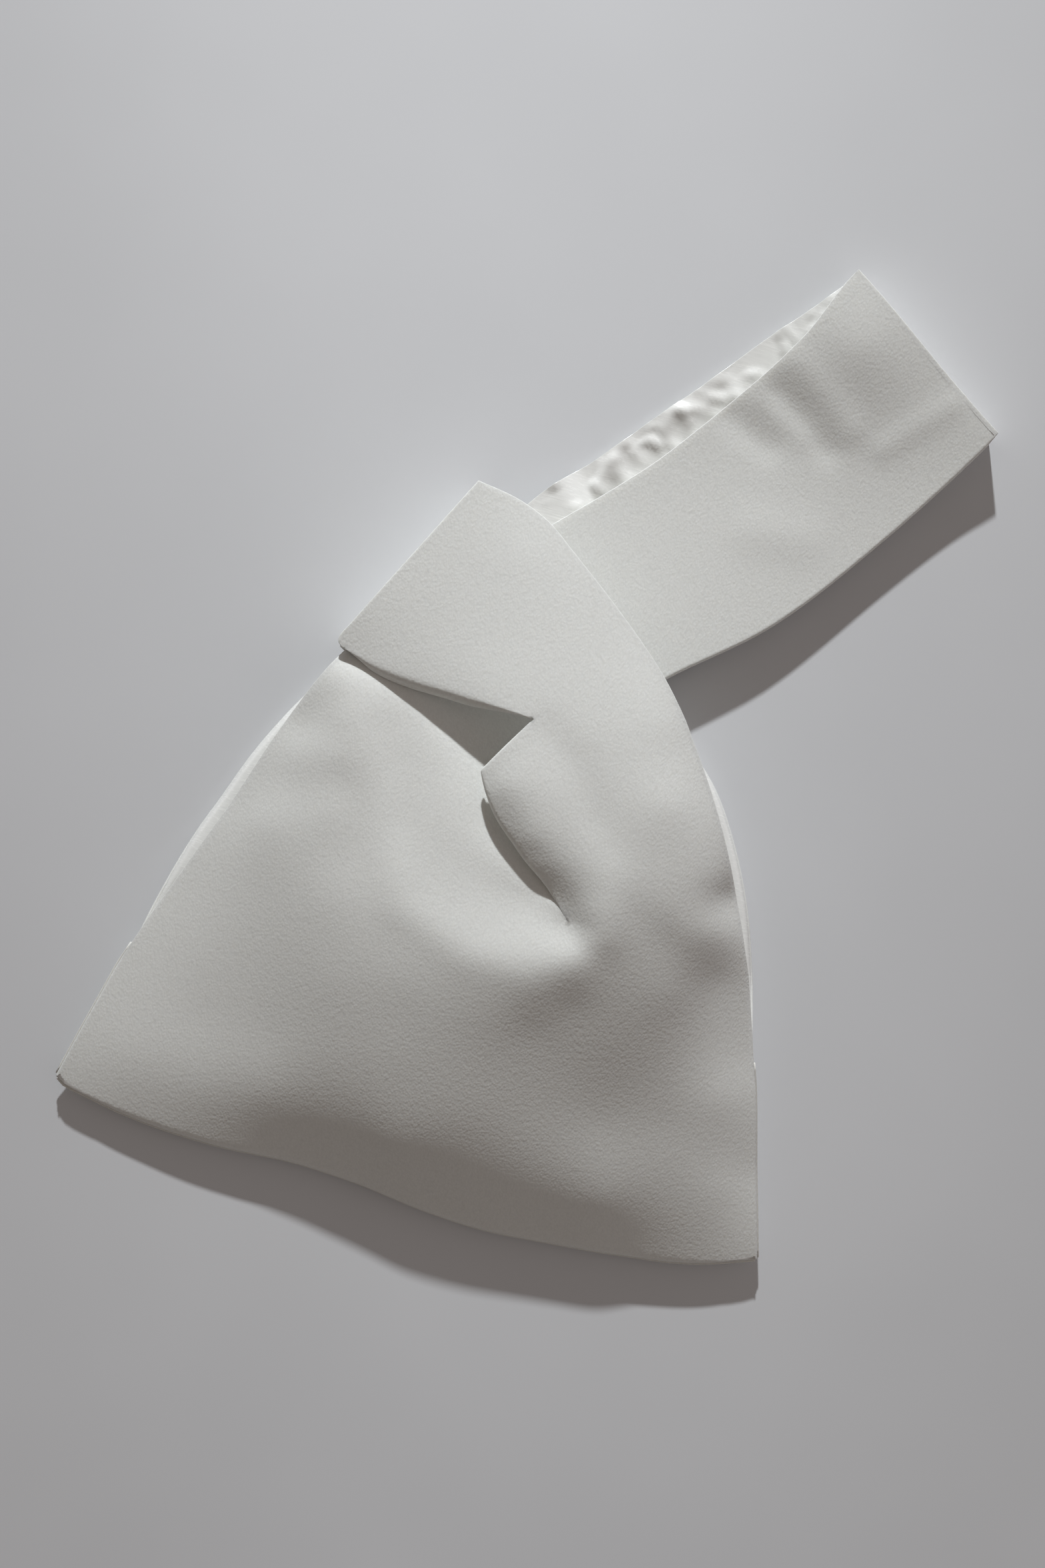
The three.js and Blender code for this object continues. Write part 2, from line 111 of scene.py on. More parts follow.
LEFT_ARM_HEIGHTS = LEFT_JOIN_HEIGHTS + [
    (-79, 153, 19.4), (-68, 177, 23.4), (-52, 203, 16), (-28, 231, 12.5), (-75, 140, 22), (-61, 146, 25.8),
    (-62, 160, 25.2), (-60, 174, 24.8), (-38, 148, 25.3), (-42, 162, 24.7), (-47, 172, 24.2),
    (-35, 168, 23.8), (-24, 161, 23.8), (-13, 154, 24), (-24, 175, 19.5), (-14, 138, 26.4),
    (-8, 165, 20.6), (3, 171, 17.5), (-40, 185, 19.5), (-60, 190, 18), (8, 125, 27.6), (-6, 140, 25.9),
    (36, 120, 25), (30, 130, 22.4), (15, 140, 23), (0, 155, 22.5), (33, 150, 16), (-30, 200, 15),
    (1, 207, 12.3), (30, 182, 12.5),
]
LOOP_HEIGHTS = RIGHT_JOIN_HEIGHTS + [
    (27, 113.4, 30.8), (30, 116.7, 33.2), (32.7, 119.7, 34.7), (36.4, 123.8, 35.4), (8.5, 127.7, 30.6),
    (11.5, 131, 33), (14.2, 134, 34.5), (18, 138, 35.2), (-6, 143, 30.2), (-3, 146.4, 32.4),
    (0, 149.4, 33.8), (4, 153, 34.4), (-9.5, 151, 30), (23, 144, 35.3), (14, 160, 34.4), (34, 154, 35),
    (31, 168, 34.4), (58, 157, 34.8), (71, 165, 29), (61, 180, 30), (46, 199, 30.6), (23, 219.5, 29.4),
    (3, 235, 28.4), (-10, 244, 27.4), (-34, 251, 26), (4.6, 175, 33.2), (23, 171, 34.2), (-8, 176, 31.8),
    (-19, 178, 30), (-34, 178, 27.8), (-48, 179, 26.4), (-66, 183, 24.8), (0, 192, 31.8), (-5, 211, 30.2),
    (-10, 230, 28.8), (-22, 197, 29), (-27, 216, 27.8), (-32, 235, 26.8), (-41, 194, 27.2),
    (-47, 212, 26.6), (-62, 195, 25.8), (-50, 222, 26.2), (28, 184, 33.2), (23, 203, 31.2),
    (53, 164, 34.4), (48, 183, 32.8),
]

# Soft folds, each as its path, width and height: the ridge round the knot, and the crease from the notch.
KNOT_FOLDS = [
    ([(-58, 158), (-49, 146), (-38, 124), (-26, 99), (2, 88), (24, 88.5), (38, 96.5), (46, 107), (45, 126)],
     8.0, 0.6),
]
LOOP_FOLDS = KNOT_FOLDS + [([(10, 171), (22, 163), (34, 146)], 6.0, -0.4)]

# Wrist strap, measured along and across from the point where it leaves the loop.
STRAP_EXIT = (17.0, 226.0)
STRAP_ANGLE = 50.0
STRAP_FRONT_LEFT = [(-42, -36), (1, -32.6), (27, -30.2), (46, -29.2), (63, -29.7), (80, -30.6),
                    (106, -32.8), (119, -35), (130, -38.4), (138, -40.8), (145.2, -42.3)]
STRAP_FRONT_RIGHT = [(-42, 36), (1, 39.5), (43, 46.5), (95, 45.1), (130, 41.5), (153.4, 38.1)]
STRAP_BACK_LEFT = [(-42, -37), (6, -45), (32, -43.4), (52, -43.4), (72, -42.8), (110, -43), (126, -42.4),
                   (145.2, -42.3)]
STRAP_BACK_RIGHT = [(-42, 36), (1, 39), (43, 44), (95, 43), (130, 40), (153.4, 38.1)]
STRAP_FRONT_HEIGHTS = [
    (-42, -36, 10.1), (-42, 36, 10.1), (-10, 0, 10.6), (1, -32, 9.6), (1, 0, 10.2), (1, 39, 10.6),
    (47, -25, 8.9), (47, 10, 9.2), (45, 46, 9.7), (78, -24, 9.6), (78, 10, 9.2), (90, 45, 8.9),
    (98, 35, 9), (100, -10, 11.1), (115, -30, 15.2), (116, 10, 11.1), (130, -17, 16.3), (122, 37, 9.7),
    (138, 37, 10.8), (145, -42, 16.5), (150, -8, 14.8), (155, 12, 12.9), (153, 38, 12.5),
]
STRAP_DENTS = [
    ([(77, -26), (82, -8)], 5.0, -0.6), ([(90, -24), (95, -4)], 5.0, 0.5), ([(96, -22), (99, 6)], 4.5, -0.6),
    ([(108, -26), (110, 4)], 6.0, 0.7), ([(116, 17), (146, 19)], 4.5, 0.5), ([(60, 14), (72, 26)], 9.0, 0.5),
]


def smooth(t):
    """Smooth step: 3t^2 - 2t^3 for t from 0 to 1, flat outside."""
    t = np.clip(t, 0.0, 1.0)
    return t * t * (3.0 - 2.0 * t)


def rise(distance, reach, power):
    """Edge profile: 1 - (1 - d/reach)^power, from 0 at the edge to 1 at reach."""
    return 1.0 - (1.0 - np.clip(distance / reach, 0.0, 1.0)) ** power


def evenly(count):
    """Places from 0 to 1, evenly spaced."""
    return np.linspace(0, 1, count)


def unit(v):
    """Vectors divided by their lengths."""
    return v / np.maximum(np.linalg.norm(v, axis=-1, keepdims=True), 1e-9)


def trace(points, places):
    """Hermite cubic through the points by chord length, with slopes from the points beside each, read at
    places from 0 to 1."""
    p = np.asarray(points, dtype=float)
    steps = np.linalg.norm(np.diff(p, axis=0), axis=1)
    t = np.concatenate(([0.0], np.cumsum(steps))) / steps.sum()
    slope = np.gradient(p, t, axis=0)
    k = np.clip(np.searchsorted(t, places, side="right") - 1, 0, len(t) - 2)
    h = (t[k + 1] - t[k])[..., None]
    f = ((places - t[k]) / (t[k + 1] - t[k]))[..., None]
    return (p[k] * (1 + 2 * f) * (1 - f) ** 2 + p[k + 1] * f * f * (3 - 2 * f)
            + h * slope[k] * f * (1 - f) ** 2 + h * slope[k + 1] * f * f * (f - 1))


def ruled(u, v, bottom, top, left, right, corners):
    """Sheet between four edges: the two ruled sheets added, less the sheet between the four corners."""
    u = u[None, :, None]
    v = v[:, None, None]
    low_left, low_right, high_left, high_right = corners
    across = (1 - u) * left[:, None] + u * right[:, None]
    up = (1 - v) * bottom[None] + v * top[None]
    between = (1 - v) * ((1 - u) * low_left + u * low_right) + v * ((1 - u) * high_left + u * high_right)
    return across + up - between


def patch(u, v, bottom, top, left, right):
    """Ruled sheet between four curves given by their points, read at the places u across and v up."""
    corners = np.array((bottom[0], bottom[-1], top[0], top[-1]), dtype=float)
    return ruled(u, v, trace(bottom, u), trace(top, u), trace(left, v), trace(right, v), corners)


def patch_from(row, v, top, left, right):
    """Ruled sheet that goes on from a row of points up to a top curve, between two side curves."""
    u = evenly(len(row))
    return blend_edges(row, trace(top, u), trace(left, v), trace(right, v))


def blend_edges(bottom, top, left, right):
    """Ruled sheet between four rows of points that meet at the corners."""
    u = evenly(len(bottom))
    v = evenly(len(left))
    return ruled(u, v, bottom, top, left, right, (bottom[0], bottom[-1], top[0], top[-1]))


def drape(points, x, y, slack=2e-3):
    """Height of a thin bent sheet near the points: r^2 log r about each point, plus a plane, and slack."""
    def bend(d):
        return np.where(d > 0, d * d * np.log(np.maximum(d, 1e-9)), 0.0)

    p = np.asarray(points, dtype=float) / (100.0, 100.0, 1.0)
    n = len(p)
    kernel = bend(np.linalg.norm(p[:, None, :2] - p[None, :, :2], axis=-1)) + slack * np.eye(n)
    plane = np.column_stack((np.ones(n), p[:, :2]))
    system = np.block([[kernel, plane], [plane.T, np.zeros((3, 3))]])
    weights = np.linalg.solve(system, np.concatenate((p[:, 2], np.zeros(3))))
    r = np.hypot(x[..., None] / 100.0 - p[:, 0], y[..., None] / 100.0 - p[:, 1])
    return bend(r) @ weights[:n] + weights[n] + weights[n + 1] * x / 100.0 + weights[n + 2] * y / 100.0


def crease(x, y, path, width, height):
    """Long soft fold: height times exp(-(d/width)^2), d the distance to the path."""
    p = np.asarray(path, dtype=float)
    a, b = p[:-1], p[1:]
    along = b - a
    q = np.stack((x, y), axis=-1)[..., None, :]
    t = np.clip(((q - a) * along).sum(-1) / (along ** 2).sum(-1), 0.0, 1.0)
    d = np.linalg.norm(q - a - t[..., None] * along, axis=-1).min(axis=-1)
    return height * np.exp(-(d / width) ** 2)


def grid_normals(grid):
    """Unit normals of a grid of points: the cross product of its slopes across and along."""
    return unit(np.cross(np.gradient(grid, axis=1), np.gradient(grid, axis=0)))


def inside(grid, depth):
    """A grid moved inwards along its normals."""
    return grid - depth * grid_normals(grid)


def roll(edge, inner, normal, radius, sweep, steps):
    """Rounded edge: from each edge point an arc of that radius bends away from the sheet through the sweep.
    Returns one line of points a step, the first just past the edge."""
    inward = inner - edge
    inward = unit(inward - (inward * normal).sum(-1, keepdims=True) * normal)
    radius, sweep = (np.broadcast_to(value, edge.shape[:1])[None, :, None] for value in (radius, sweep))
    angle = np.radians(sweep) * (np.arange(1, steps + 1) / steps)[:, None, None]
    return edge - radius * normal + radius * (normal * np.cos(angle) - inward * np.sin(angle))


def roll_corner(point, normal, start, end, turns=6):
    """Rounded corner between two sewn edges: the same arc, turned from the start direction to the end."""
    start = unit(start - (start @ normal) * normal)
    end = unit(end - (end @ normal) * normal)
    turn = math.acos(float(np.clip(start @ end, -1, 1)))
    side = unit(end - (start @ end) * start)
    psi = np.linspace(0, turn, turns)[:, None, None]
    direction = start * np.cos(psi) + side * np.sin(psi)
    angle = np.radians(EDGE_SWEEP) * (np.arange(0, EDGE_STEPS + 1) / EDGE_STEPS)[None, :, None]
    return point - SEAM_RADIUS * normal + SEAM_RADIUS * (normal * np.cos(angle) + direction * np.sin(angle))


# ---- Pouch front, left arm, flap and loop

COLUMNS_LEFT = 46
COLUMNS_RIGHT = 22
FLAP_COLUMNS = 6
POUCH_ROWS = 36
ARM_ROWS = 34
FLAP_ROWS = 26
LOOP_ROWS = 28
POUCH_WIDTH = 235.0
POUCH_LENGTH = 115.0
BASE_INSET = 2.6
SIDE_INSET = 0.8
BASE_RADIUS = 3.2
SIDE_RADIUS = 0.2
SEAM_RADIUS = 1.0
EDGE_SWEEP = 75.0
EDGE_STEPS = 5
SEAM_LEVEL = 6.0


def bent_sheet(plan, heights, folds):
    """Height over a plan: a bent sheet through the heights, with its soft folds added."""
    x, y = plan[..., 0], plan[..., 1]
    return drape(heights, x, y) + sum(crease(x, y, *fold) for fold in folds)


def puffed(plan, heights, folds, puff):
    """A bent sheet, scaled above the seam level by the puff."""
    return SEAM_LEVEL + puff * (bent_sheet(plan, heights, folds) - SEAM_LEVEL)


def flap_radius(v):
    """Radius of the flap's turned edge: small at the neck, full along the slot."""
    return 0.8 + 2.2 * smooth(v / 0.3) - 1.2 * smooth((v - 0.8) / 0.2)


def hem_radius(t):
    """Radius of the loop's turned lower edge: small at the notch, full along it, small at the fold."""
    return (0.7 + 3.1 * smooth(t / 0.25)) * (1 - 0.97 * smooth((t - 0.70) / 0.055))


def side_roll(side, edge, inner, seam_top):
    """Rounded edge of one side of the front cloth: soft along its seam, thin and turned in above it."""
    above = side[:, edge, 1] - seam_top
    radius = SEAM_RADIUS + (SIDE_RADIUS - SEAM_RADIUS) * smooth(above / 12 + 1)
    sweep = EDGE_SWEEP + 35 * smooth(above / 20)
    return roll(side[:, edge], side[:, inner], grid_normals(side)[:, edge], radius, sweep, EDGE_STEPS)


def neck_share():
    """Place of the neck's lowest point along the neckline, by length."""
    left, right = (np.linalg.norm(np.diff(line, axis=0), axis=1).sum() for line in (NECK_LEFT, NECK_RIGHT))
    return left / (left + right)


def front_sheets(sizes):
    """The front cloth's sheets in plan and height: pouch, left arm, flap and loop, each as rows of points.
    The left arm and the flap ease out of the pouch's height over the first share of their length."""
    def eased(plan, v, reach, heights, folds):
        share = smooth(v / reach)[:, None]
        pouch_height = puffed(plan, POUCH_HEIGHTS, KNOT_FOLDS, sizes.puff)
        own_height = puffed(plan, heights, folds, sizes.puff)
        return np.dstack((plan, (1 - share) * pouch_height + share * own_height))

    middle = neck_share()
    inset = SIDE_INSET / POUCH_WIDTH
    columns = np.concatenate((np.linspace(inset, middle, COLUMNS_LEFT + 1),
                              np.linspace(middle, 1 - inset, COLUMNS_RIGHT + 1)[1:]))
    rows = np.linspace(BASE_INSET / POUCH_LENGTH, 1, POUCH_ROWS + 1)
    plan = patch(columns, rows, BASE_EDGE, NECK_LEFT + NECK_RIGHT[1:], LEFT_EDGE, RIGHT_EDGE)
    pouch = np.dstack((plan, puffed(plan, POUCH_HEIGHTS, KNOT_FOLDS, sizes.puff)))

    # Left arm.
    low = pouch[-1, :COLUMNS_LEFT + 1]
    arm_v = evenly(ARM_ROWS + 1)
    far = [LEFT_ARM_OUTER[-1], LEFT_ARM_INNER[-1]]
    plan = patch_from(low[:, :2], arm_v, far, [low[0, :2]] + LEFT_ARM_OUTER[1:], LEFT_ARM_INNER)
    left_arm = eased(plan, arm_v, 0.25, LEFT_ARM_HEIGHTS, KNOT_FOLDS)
    left_arm[0] = low

    # Flap, up to the row through the notch.
    low = pouch[-1, COLUMNS_LEFT:]
    flap_v = evenly(FLAP_ROWS + 1)
    slot = trace(FLAP_EDGE, flap_v)
    step = np.gradient(slot, axis=0)
    inset = flap_radius(flap_v) * smooth(flap_v / 0.12 + 0.1)
    slot = slot + inset[:, None] * unit(np.column_stack((step[:, 1], -step[:, 0])))
    slot[0] = low[0, :2]
    edge = trace([low[-1, :2]] + [(x - 0.7, y - 0.4) for x, y in RIGHT_ARM_EDGE[1:]], flap_v)
    short = trace([slot[-1], NOTCH], evenly(FLAP_COLUMNS + 1))
    u = evenly(COLUMNS_RIGHT - FLAP_COLUMNS + 1)
    cross = trace([NOTCH] + CROSS_ROW + [edge[-1]], u)
    plan = blend_edges(low[:, :2], np.concatenate((short, cross[1:])), slot, edge)
    flap = eased(plan, flap_v, 0.4, LOOP_HEIGHTS, LOOP_FOLDS)
    flap[0] = low

    # Loop, from that row to its end fold.
    low = flap[-1, FLAP_COLUMNS:]
    loop_v = evenly(LOOP_ROWS + 1)
    lower = trace([NOTCH] + LOOP_LOWER, loop_v)
    upper = trace([low[-1, :2]] + LOOP_UPPER, loop_v)
    end = trace(LOOP_END, evenly(len(low)) ** 1.5)
    plan = blend_edges(low[:, :2], end, lower, upper)
    loop = np.dstack((plan, puffed(plan, LOOP_HEIGHTS, LOOP_FOLDS, sizes.puff)))
    loop[0] = low
    return pouch, left_arm, flap, loop


def edge_line(grid, share=0.12):
    """A grid with one more column just inside its last, so that the sheet stays flat up to its edge."""
    near = (1 - share) * grid[:, -1:] + share * grid[:, -2:-1]
    return np.concatenate((grid[:, :-1], near, grid[:, -1:]), axis=1)


def edge_lines(grid):
    """A grid with such a column inside its first and inside its last."""
    return edge_line(edge_line(grid)[:, ::-1])[:, ::-1]


def fold_shape(angle):
    """Pressed fold: out by sin^0.45 and up or down by cos^0.45 of the angle, so that its top and foot are
    sharp and its side stands upright."""
    out, up = np.sin(angle), np.cos(angle)
    return np.abs(out) ** 0.45, np.sign(up) * np.abs(up) ** 0.45


def fold_half(line, start, end):
    """Half of a pressed end fold below a line of points, between two angles in degrees."""
    along = unit(np.gradient(line[:, :2], axis=0))
    side = np.column_stack((-along[:, 1], along[:, 0], np.zeros(len(line))))
    out, up = fold_shape(np.radians(np.linspace(start, end, FOLD_STEPS + 1))[1:, None, None])
    rows = line[None] + FOLD_OUT * out * side
    rows[..., 2] = 0.5 * (line[:, 2] + FOLD_FOOT) + 0.5 * (line[:, 2] - FOLD_FOOT) * up[..., 0]
    return rows


def bordered(band_first, grid, band_last=None):
    """A grid with rolled lines of points added before its first and after its last column."""
    parts = [grid]
    if band_first is not None:
        parts.insert(0, np.swapaxes(band_first[::-1], 0, 1))
    if band_last is not None:
        parts.append(np.swapaxes(band_last, 0, 1))
    return np.concatenate(parts, axis=1)


def front_cloth_grids(sizes):
    """Every sheet of the front cloth with its rounded edges, as named grids whose shared edges agree."""
    pouch, left_arm, flap, loop = front_sheets(sizes)
    pouch = edge_lines(pouch)
    left_arm = edge_line(left_arm[:, ::-1])[:, ::-1]
    flap = edge_line(flap)
    loop = np.swapaxes(edge_line(np.swapaxes(edge_line(loop), 0, 1)), 0, 1)
    loop = np.concatenate((loop, fold_half(loop[-1], 0.0, 90.0)))

    # Outer edges: the two sides from the base to the ends of the arms, the base and its corners.
    left = np.concatenate((pouch[:, :3], left_arm[1:, :3]))
    left_roll = side_roll(left, 0, 1, LEFT_SEAM_TOP)
    right = np.concatenate((pouch[:, -3:], flap[1:, -3:], loop[1:, -3:]))
    right_roll = side_roll(right, -1, -2, RIGHT_SEAM_TOP)
    normal = grid_normals(pouch[:3])[0]
    base = pouch[0]
    corner_gap = np.minimum(base[:, 0] - base[0, 0], base[-1, 0] - base[:, 0])
    base_radius = SEAM_RADIUS + (BASE_RADIUS - SEAM_RADIUS) * smooth(corner_gap / 40.0)
    base_roll = roll(base, pouch[1], normal, base_radius, EDGE_SWEEP, EDGE_STEPS)
    left_corner = roll_corner(base[0], normal[0], base[0] - base[1], base[0] - pouch[1, 0])
    right_corner = roll_corner(base[-1], normal[-1], base[-1] - pouch[1, -1], base[-1] - base[-2])

    # Edges round the slot: the flap's roll, the short edge across its tip and the loop's lower edge.
    v = evenly(FLAP_ROWS + 1)
    slot_roll = roll(flap[:, 0], flap[:, 1], grid_normals(flap[:, :3])[:, 0], flap_radius(v),
                     20 + 110 * smooth(v / 0.25), 8)
    tip = bordered(slot_roll, flap[:, :FLAP_COLUMNS + 1])[-3:]
    tip_radius = 0.2 + 0.6 * smooth(np.linspace(1, 0, tip.shape[1]) / 0.3)
    tip_roll = roll(tip[-1], tip[-2], grid_normals(tip)[-1], tip_radius, 100.0, 4)
    hem = loop[:, :3]
    t = evenly(len(hem))
    hem_roll = roll(hem[:, 0], hem[:, 1], grid_normals(hem)[:, 0], hem_radius(t),
                    60 + 50 * smooth(t / 0.12), 7)

    return {"pouch": pouch, "left_arm": left_arm, "flap": flap, "loop": loop,
            "left_side": bordered(left_roll, left[:, :1]),
            "right_side": bordered(None, right[:, -1:], right_roll),
            "base": np.concatenate((base_roll[::-1], pouch[:1])), "slot": bordered(slot_roll, flap[:, :1]),
            "tip": np.concatenate((tip[-1:], tip_roll)), "hem": bordered(hem_roll, hem[:, :1]),
            "left_corner": left_corner, "right_corner": right_corner}


def to_metres(points):
    """Millimetres from the base line to metres in the part's frame."""
    return (points - (0.0, BASE_LINE, 0.0)) * 0.001


def grid_faces(shape, first):
    """Quads of a grid, four point numbers each, counted from first."""
    n = first + np.arange(shape[0] * shape[1]).reshape(shape)
    return np.stack((n[:-1, :-1], n[:-1, 1:], n[1:, 1:], n[1:, :-1]), axis=-1).reshape(-1, 4)


def new_object(name, data):
    """Object with that data, linked into the scene."""
    obj = bpy.data.objects.new(name, data)
    bpy.context.collection.objects.link(obj)
    return obj


def joined_object(name, grids, material, turned=False):
    """One object from several grids: points that agree are joined, and faces with a doubled corner become
    triangles."""
    points = np.concatenate([g.reshape(-1, 3) for g in grids])
    first = np.cumsum([0] + [g.shape[0] * g.shape[1] for g in grids])
    faces = np.concatenate([grid_faces(g.shape[:2], f) for g, f in zip(grids, first)])
    _, index, joined = np.unique(np.round(points, 3), axis=0, return_index=True, return_inverse=True)
    faces = joined.reshape(-1)[faces]
    if turned:
        faces = faces[:, ::-1]
    doubled = faces == np.roll(faces, -1, axis=1)
    cut = doubled.any(axis=1)
    threes = [face for k in range(4) for face in np.delete(faces[doubled[:, k]], k, axis=1).tolist()]
    mesh = bpy.data.meshes.new(name)
    mesh.from_pydata(to_metres(points[index]).tolist(), [], faces[~cut].tolist() + threes)
    mesh.validate()
    mesh.shade_smooth()
    mesh.materials.append(material)
    return new_object(name, mesh)


def cloth_object(name, grids, material, thickness, levels=1, turned=False):
    """One cloth from several grids, which gets its thickness inwards."""
    obj = joined_object(name, grids, material, turned)
    solid = obj.modifiers.new("thickness", "SOLIDIFY")
    solid.thickness = thickness
    solid.offset = -1.0
    solid.use_even_offset = False
    if levels:
        sub = obj.modifiers.new("rounding", "SUBSURF")
        sub.levels = sub.render_levels = levels
    return obj


# ---- Back cloth

LIP = 16.0
LIP_HEIGHT = 1.4
OPEN_HEIGHT = 1.6
SEAM_SINK = 0.4
BACK_ARM_ROWS = 24
BACK_LOOP_ROWS = 40


def lip_share(distance):
    """Share of its edge's height that the raised lip has at a distance from the edge."""
    return 1 - rise(distance, LIP, 2.4)


def back_side(line, corner, seam_top, reach, out):
    """One side of the pouch back: sewn below the front's edge up to the seam's top, then open. There it
    bulges out and sinks towards the table over the reach."""
    side = line.copy()
    free = rise(line[:, 1] - seam_top, reach, 1.6)
    side[:, 0] += out * free
    side[:, 2] += (OPEN_HEIGHT - side[:, 2]) * free - SEAM_SINK
    side[0] = corner - (0, 0, SEAM_SINK)
    return side


def back_cloth_grids(sizes):
    """Back cloth: pouch back with a raised lip at its edges, the left arm's back and the loop's back."""
    front = front_cloth_grids(sizes)
    left = back_side(front["left_side"][:POUCH_ROWS + 1, 0], front["left_corner"][3, -1],
                     LEFT_SEAM_TOP, 50.0, -7.0)
    right = back_side(front["right_side"][:POUCH_ROWS + 1, -1], front["right_corner"][3, -1],
                      RIGHT_SEAM_TOP, 40.0, 4.5)
    base = front["base"][0].copy()
    base[:, 2] -= SEAM_SINK
    base[0] = left[0]
    base[-1] = right[0]
    columns = evenly(len(base))
    top = left[-1] + columns[:, None] * (right[-1] - left[-1])
    plan = blend_edges(base[:, :2], top[:, :2], left[:, :2], right[:, :2])
    width = np.linalg.norm(right - left, axis=1)[:, None]
    tall = np.linalg.norm(top - base, axis=1)[None, :]
    u = columns[None, :]
    v = evenly(len(left))[:, None]
    falls = [lip_share(u * width) * left[:, 2][:, None], lip_share((1 - u) * width) * right[:, 2][:, None],
             lip_share(v * tall) * base[:, 2][None, :]]
    pouch = np.dstack((plan, np.maximum.reduce(falls)))

    # Left arm's back.
    arm_v = evenly(BACK_ARM_ROWS + 1)
    low = pouch[-1, :COLUMNS_LEFT + 1]
    outer = [low[0, :2], (-94.6, 138), (-85.5, 156), (-70, 180), (-52, 206), (-29, 232)]
    inner = [low[-1, :2], (38, 130), (33, 155), (29, 183)]
    plan = patch_from(low[:, :2], arm_v, [outer[-1], inner[-1]], outer, inner)
    width = np.linalg.norm(plan[:, -1] - plan[:, 0], axis=1)[:, None]
    u = evenly(len(low))[None, :]
    lip_height = low[0, 2] + (LIP_HEIGHT - low[0, 2]) * smooth(arm_v / 0.6)
    lip = lip_share(u * width) * lip_height[:, None]
    left_arm = np.dstack((plan, np.maximum(lip, (2.0 * smooth((arm_v - 0.15) / 0.4))[:, None])))
    left_arm[0] = low

    # Loop's back, round the lower half of the end fold.
    loop_v = evenly(BACK_LOOP_ROWS + 1)
    low = pouch[-1, COLUMNS_LEFT:]
    end_line = front["loop"][LOOP_ROWS + 1]
    inner = [low[0, :2], (34, 140), (8, 168), (-30, 176), end_line[0, :2]]
    outer = [low[-1, :2], (100.7, 124.2), (89.4, 148.4), (75.7, 169), (64, 180), (44, 196), (20, 215),
             (0, 231), (-12, 240), end_line[-1, :2]]
    plan = patch_from(low[:, :2], loop_v, [inner[-1], outer[-1]], inner, outer)
    width = np.linalg.norm(plan[:, -1] - plan[:, 0], axis=1)[:, None]
    u = evenly(len(low))[None, :]
    end_share = smooth((loop_v - 0.8) / 0.2)
    lip_height = (low[-1, 2] + (LIP_HEIGHT - low[-1, 2]) * smooth(loop_v / 0.4)) * (1 - end_share)
    lip = lip_share((1 - u) * width) * lip_height[:, None]
    loop = np.dstack((plan, lip + FOLD_FOOT * end_share[:, None]))
    loop[0] = low
    places, known = evenly(loop.shape[1]), evenly(len(end_line))
    top = np.column_stack([np.interp(places, known, line) for line in end_line.T])
    loop = np.concatenate((loop, fold_half(top, 180.0, 91.0)))
    return [pouch, left_arm, loop]


# ---- Wrist strap

STRAP_ROWS = 72
LINING_ROWS = 130
LINING_COLUMNS = 50
CRUMPLE_FOLDS = 70
CRUMPLE_SEED = 11
STRAP_COLUMNS = 26
STRAP_FOLD_STEPS = 16
STRAP_INSETS = (1.2, 1.2)
LINING_INSETS = (2.4, 1.0)
LINING_SINK = 1.75
# Height of the back layer, and its steps, as place and height, over the loop's back and the arm's end.
STRAP_BACK_HEIGHT = 0.5
STRAP_BACK_STEPS = [(9, 3.2), (-12, 1.3)]
STRAP_STEP_RUN = 14


def strap_plan(along, across):
    """Strap measure to plan: exit point plus along times the strap's direction plus across times its side."""
    turn = math.radians(STRAP_ANGLE)
    x = STRAP_EXIT[0] + along * math.cos(turn) + across * math.sin(turn)
    y = STRAP_EXIT[1] + along * math.sin(turn) - across * math.cos(turn)
    return np.stack((x, y), axis=-1)


def strap_layer(left_edge, right_edge, rows, inset, u):
    """Plan of one layer of the strap, along and across, between its two edges, at the places u across.
    Its rows are evenly spaced, with one more just before the end fold."""
    v = np.append(evenly(rows + 1), 0.9975)
    v.sort()
    left = trace(left_edge, v)
    right = trace(right_edge, v)
    side = inset * unit(right - left)
    u = u[None, :, None]
    return (1 - u) * (left + side)[:, None] + u * (right - side)[:, None]


def strap_grid(insets, sink, rows, u):
    """Strap from its hidden tail over the front, round the end fold and back below, as one grid.
    The insets narrow the front and the back, and sink moves the whole sheet inside, for the lining."""
    front = strap_layer(STRAP_FRONT_LEFT, STRAP_FRONT_RIGHT, rows, insets[0], u)
    back = strap_layer(STRAP_BACK_LEFT, STRAP_BACK_RIGHT, rows, insets[1], u)
    top = bent_sheet(front, STRAP_FRONT_HEIGHTS, STRAP_DENTS)
    low = STRAP_BACK_HEIGHT + sum(height * (1 - smooth((back[..., 0] - place) / STRAP_STEP_RUN))
                                  for place, height in STRAP_BACK_STEPS)
    # The straight layers stop just short of the pressed fold, whose side stands upright.
    for layer in (front, back):
        layer[..., 0] -= FOLD_OUT * smooth((layer[..., 0] - 60) / 80)
    out, up = fold_shape(np.linspace(0, math.pi, STRAP_FOLD_STEPS + 1)[1:-1, None])
    middle = 0.5 * (front[-1] + back[-1])
    fold_along = middle[:, 0] + FOLD_OUT * out
    fold_across = np.broadcast_to(middle[:, 1], fold_along.shape)
    fold_height = 0.5 * (top[-1] + low[-1]) + 0.5 * (top[-1] - low[-1]) * up
    along = np.concatenate((front[..., 0], fold_along, back[::-1, :, 0]))
    across = np.concatenate((front[..., 1], fold_across, back[::-1, :, 1]))
    height = np.concatenate((top, fold_height, low[::-1]))
    grid = np.dstack((strap_plan(along, across), height))
    return inside(grid, sink) if sink else grid


def crepe_strap():
    """Outer sheet of the strap without its rounded edges."""
    return strap_grid(STRAP_INSETS, 0.0, STRAP_ROWS, evenly(STRAP_COLUMNS + 1))


